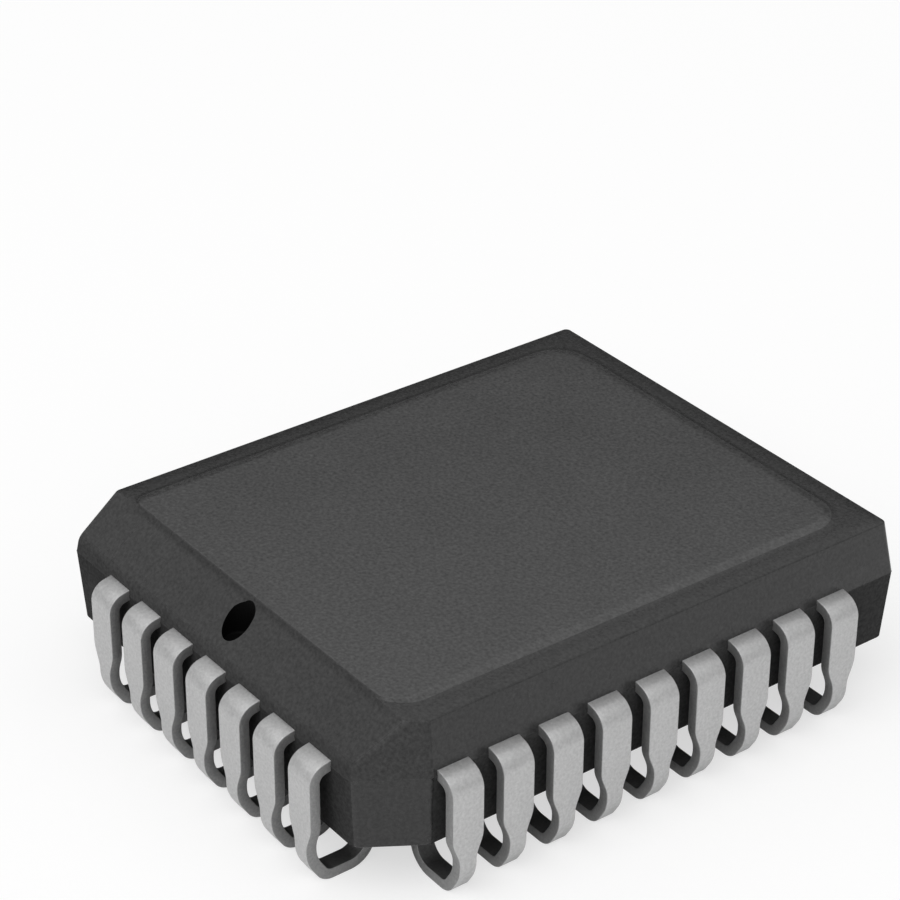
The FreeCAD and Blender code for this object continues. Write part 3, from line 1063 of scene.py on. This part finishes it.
inner_finishes = {
    "die_pad": inner_finish("bare copper alloy", (0.72, 0.42, 0.26), 1.0, 0.35, 0.08, 0.0008),
    "die_adhesive": inner_finish("silver epoxy", (0.45, 0.45, 0.44), 0.3, 0.60, 0.03, 0.0020),
    "die": inner_finish("polished silicon", (0.10, 0.11, 0.14), 0.6, 0.18, 0.20, 0.0002),
    "bond_wires": inner_finish("drawn gold", (0.95, 0.70, 0.30), 1.0, 0.25, 0.02, 0.0004),
}
for node, finish in inner_finishes.items():
    slots = frame["nodes"][node].data.materials
    slots.clear()
    slots.append(finish)
print("inner pieces finished:", ", ".join(inner_finishes))

# %% [markdown]
# ## The floor
#
# A product picture of a dark part wants a white ground that doesn't light the part from below. So the
# floor throws little light back, and yet it is white in reflections. For the camera it is a middle grey
# with a glow of its own, which comes out white and still shows the part's shadow.

# %% The floor
floor_half = 900 * mm
floor_bounce = 0.45
floor_mirrored = 0.98
floor_seen = 0.42
floor_glow = 0.62


def mix_greys(tree, share, first, second):
    """One grey or colour passing into another; each is a level or an output."""
    values = [grey(value) + (1,) if isinstance(value, float) else value for value in (first, second)]
    blend = {"data_type": "RGBA"}
    return add_node(tree, "ShaderNodeMix", blend, i0=share, i6=values[0], i7=values[1]).outputs[2]


corners = [(x * floor_half, y * floor_half, 0) for x, y in ((-1, -1), (1, -1), (1, 1), (-1, 1))]
floor_data = bpy.data.meshes.new("floor")
floor_data.from_pydata(corners, [], [(0, 1, 2, 3)])
floor = bpy.data.objects.new("floor", floor_data)
bpy.context.scene.collection.objects.link(floor)
floor_material = bpy.data.materials.new("pale floor")
floor_material.use_nodes = True
floor_tree = floor_material.node_tree
ray = add_node(floor_tree, "ShaderNodeLightPath").outputs
mirrored = calculate(floor_tree, "MAXIMUM", ray["Is Glossy Ray"], ray["Is Transmission Ray"])
pale = mix_greys(floor_tree, mirrored, floor_bounce, floor_mirrored)
floor_shader = floor_tree.nodes["Principled BSDF"]
lifted = mix_greys(floor_tree, ray["Is Camera Ray"], pale, floor_seen)
glow = calculate(floor_tree, "MULTIPLY", ray["Is Camera Ray"], floor_glow)
floor_tree.links.new(lifted, floor_shader.inputs["Base Color"])
floor_tree.links.new(glow, floor_shader.inputs["Emission Strength"])
floor_shader.inputs["Emission Color"].default_value = (1, 1, 1, 1)
floor_shader.inputs["Roughness"].default_value = 1.0
floor_shader.inputs["Specular IOR Level"].default_value = 0.0
floor_data.materials.append(floor_material)
print("floor, mm:", round(2 * floor_half / mm), "square")

# %% [markdown]
# ## The light
#
# A black part shows mostly what it mirrors, so the light is a room and not a spot. One broad lamp stands
# high over the pin-1 end. The world is the room, and its brightness depends on direction alone: even
# walls, a dimmer ceiling, a dimmer band near the floor, and a dark end low behind the part. The flat top
# mirrors that end towards the camera, which is why it stays dark while the tilted faces beside it shine.

# %% The lamp
def soft_lamp(name, direction, distance, side, radiance):
    """A square lamp that faces the chip; radiance is its brightness as a surface."""
    data = bpy.data.lights.new(name, "AREA")
    data.shape = "SQUARE"
    data.size = side * mm
    data.energy = radiance * math.pi * data.size ** 2
    lamp = bpy.data.objects.new(name, data)
    away = Vector(direction).normalized()
    lamp.location = away * distance * mm
    lamp.rotation_euler = away.to_track_quat("Z", "Y").to_euler()
    bpy.context.scene.collection.objects.link(lamp)
    return lamp


def lamp_direction(azimuth, elevation):
    """A direction from degrees about Z, from +X towards +Y, and degrees up."""
    turned = math.radians(azimuth)
    up = math.radians(elevation)
    return (math.cos(turned) * math.cos(up), math.sin(turned) * math.cos(up), math.sin(up))


lamp = soft_lamp("high lamp", lamp_direction(114, 60), distance=500, side=480, radiance=1.6)
print("lamp power, W:", round(lamp.data.energy, 3))

# %% The room
behind_the_part = (0.8, -0.6, 0.0)
dark_width = (0.50, 0.82)
dark_rise = (0.47, 0.60)
ceiling_rise = (0.86, 0.97)
low_band_rise = (0.08, 0.38)


def studio_dome(walls, ceiling, low_band, dark_end):
    """A room's light by direction, each place with its strength."""
    dome = bpy.data.worlds.new("studio dome")
    dome.use_nodes = True
    tree = dome.node_tree
    towards = add_node(tree, "ShaderNodeTexCoord").outputs["Generated"]
    split = add_node(tree, "ShaderNodeSeparateXYZ", i0=towards).outputs
    level = add_node(tree, "ShaderNodeCombineXYZ", i0=split[0], i1=split[1]).outputs[0]
    heading = add_node(tree, "ShaderNodeVectorMath", {"operation": "NORMALIZE"}, i0=level).outputs[0]
    behind = ramp(tree, dot(tree, heading, behind_the_part), *dark_width, 0.0, 1.0, soft=True)
    low = ramp(tree, split[2], *dark_rise, 1.0, 0.0, soft=True)
    high = ramp(tree, split[2], *ceiling_rise, walls, ceiling, soft=True)
    near_floor = ramp(tree, split[2], *low_band_rise, walls - low_band, 0.0, soft=True)
    drop = calculate(tree, "MULTIPLY", calculate(tree, "MULTIPLY", behind, low), walls - dark_end)
    strength = calculate(tree, "SUBTRACT", high, calculate(tree, "MAXIMUM", drop, near_floor))
    background = tree.nodes["Background"]
    background.inputs["Color"].default_value = (1, 1, 1, 1)
    tree.links.new(strength, background.inputs["Strength"])
    return dome


bpy.context.scene.world = studio_dome(walls=0.70, ceiling=0.35, low_band=0.15, dark_end=0.03)
bpy.context.scene.view_settings.view_transform = "Standard"
print("world:", bpy.context.scene.world.name)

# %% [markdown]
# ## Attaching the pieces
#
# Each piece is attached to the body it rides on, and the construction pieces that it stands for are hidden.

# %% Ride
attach(body, "root")
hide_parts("body")
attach(leads, "root")
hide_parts(*sorted(name for name in frame["nodes"] if name.startswith("lead_")))
